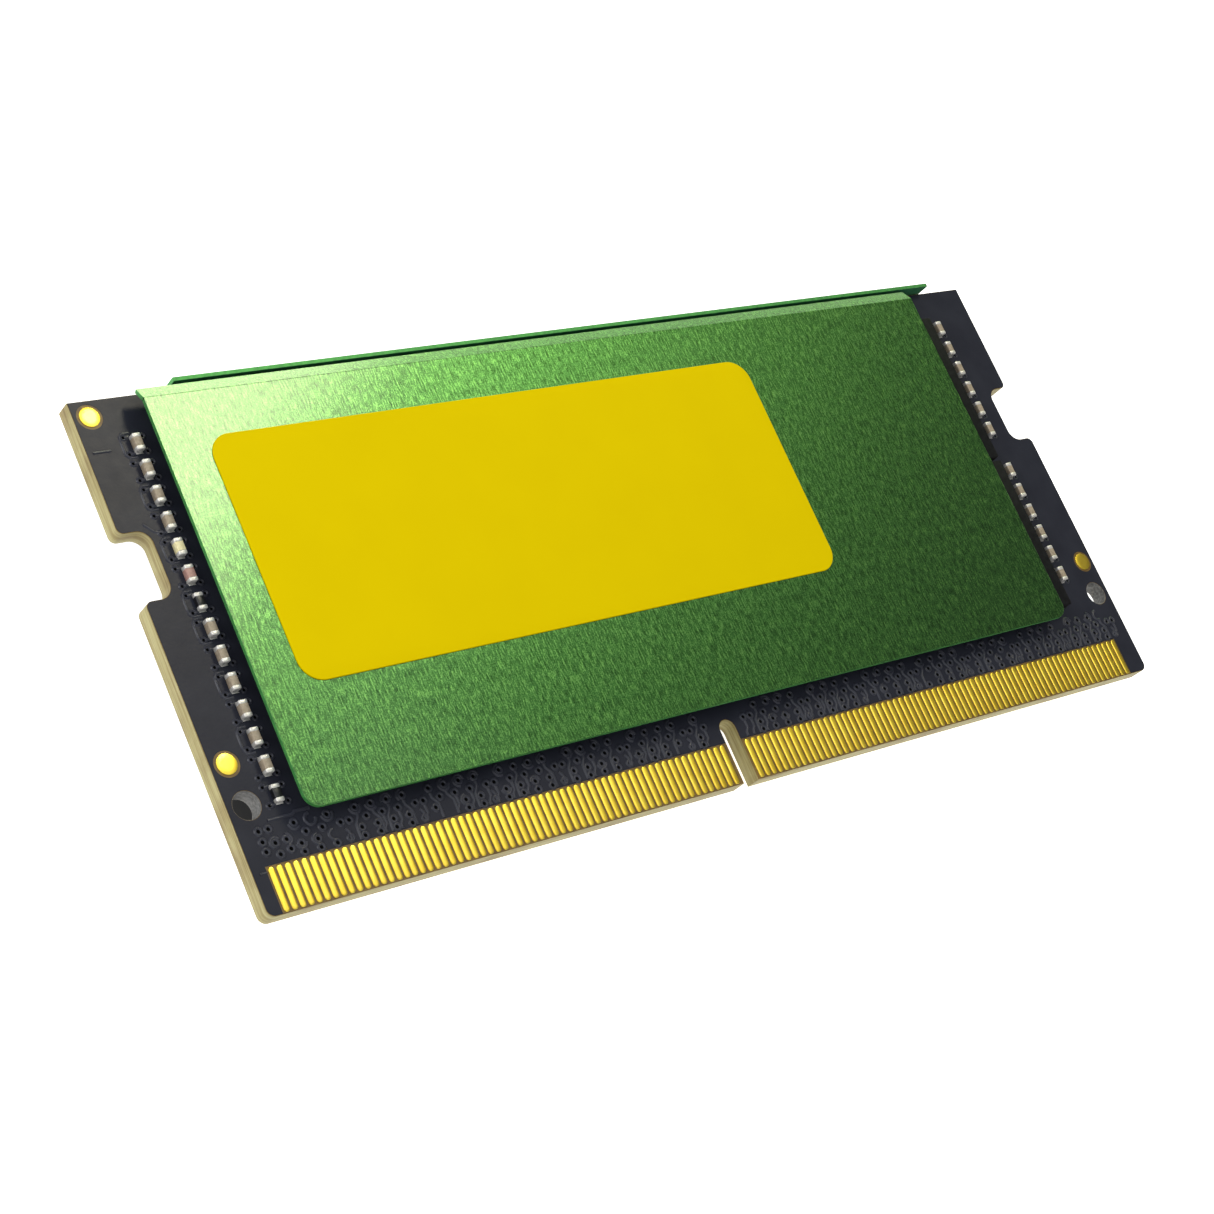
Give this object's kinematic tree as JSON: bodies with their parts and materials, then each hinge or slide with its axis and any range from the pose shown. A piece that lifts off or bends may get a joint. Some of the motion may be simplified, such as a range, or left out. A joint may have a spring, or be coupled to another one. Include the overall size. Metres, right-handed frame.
{
  "type": "ram module",
  "caption": "Laptop memory module: a board with a gold contact edge, keyed and notched, with memory chips under a bent sheet-metal heat spreader on each face and a blank label.",
  "frame": {"origin": "centre of the module's footprint, in the plane that the back spreader rests on", "axes": "+X along the module's length, key slot just left of the middle; +Y up the board, away from the contact edge; +Z out of the labelled front face"},
  "size_m": [0.0696, 0.0304, 0.0043],
  "materials": {
    "board": "black satin solder mask on glass-fibre laminate, tan at the cut edges",
    "gold_plating": "hard gold plate, satin",
    "spreader": "brushed, green anodised",
    "label": "yellow, smooth, blank",
    "package": "black moulded epoxy",
    "capacitor": "fired ceramic with tinned ends",
    "resistor": "black glaze with tinned ends",
    "ferrite": "dark grey sintered ferrite",
    "thermal_pad": "soft grey silicone"
  },
  "bodies": {
    "root": {"back_spreader": "spreader", "bulk_capacitor_1": "capacitor", "bulk_capacitor_2": "capacitor", "bulk_capacitor_3": "capacitor", "bulk_capacitor_4": "capacitor", "capacitor_left_01": "capacitor", "capacitor_left_02": "capacitor", "capacitor_left_03": "capacitor", "capacitor_left_04": "capacitor", "capacitor_left_05": "capacitor", "capacitor_left_06": "capacitor", "capacitor_left_07": "capacitor", "capacitor_left_08": "capacitor", "capacitor_left_09": "capacitor", "capacitor_left_10": "capacitor", "capacitor_left_11": "capacitor", "capacitor_left_12": "capacitor", "capacitor_right_01": "capacitor", "capacitor_right_02": "capacitor", "capacitor_right_03": "capacitor", "capacitor_right_04": "capacitor", "capacitor_right_05": "capacitor", "capacitor_right_06": "capacitor", "capacitor_right_07": "capacitor", "capacitor_right_08": "capacitor", "capacitor_right_09": "capacitor", "capacitor_right_10": "capacitor", "capacitor_right_11": "capacitor", "capacitor_right_12": "capacitor", "contacts_back_left": "gold_plating", "contacts_back_right": "gold_plating", "contacts_front_left": "gold_plating", "contacts_front_right": "gold_plating", "fiducial_left": "gold_plating", "fiducial_right": "gold_plating", "fiducial_top_left": "gold_plating", "front_spreader": "spreader", "label": "label", "memory_back_1": "package", "memory_back_2": "package", "memory_back_3": "package", "memory_back_4": "package", "memory_front_1": "package", "memory_front_2": "package", "memory_front_3": "package", "memory_front_4": "package", "pcb": "board", "power_chip": "package", "power_inductor_1": "ferrite", "power_inductor_2": "ferrite", "power_inductor_3": "ferrite", "resistor_left_1": "resistor", "resistor_left_2": "resistor", "spd_hub": "package", "thermal_pad_back_left": "thermal_pad", "thermal_pad_back_right": "thermal_pad", "thermal_pad_front_left": "thermal_pad", "thermal_pad_front_right": "thermal_pad", "thermal_pad_power": "thermal_pad"}
  },
  "joints": []
}
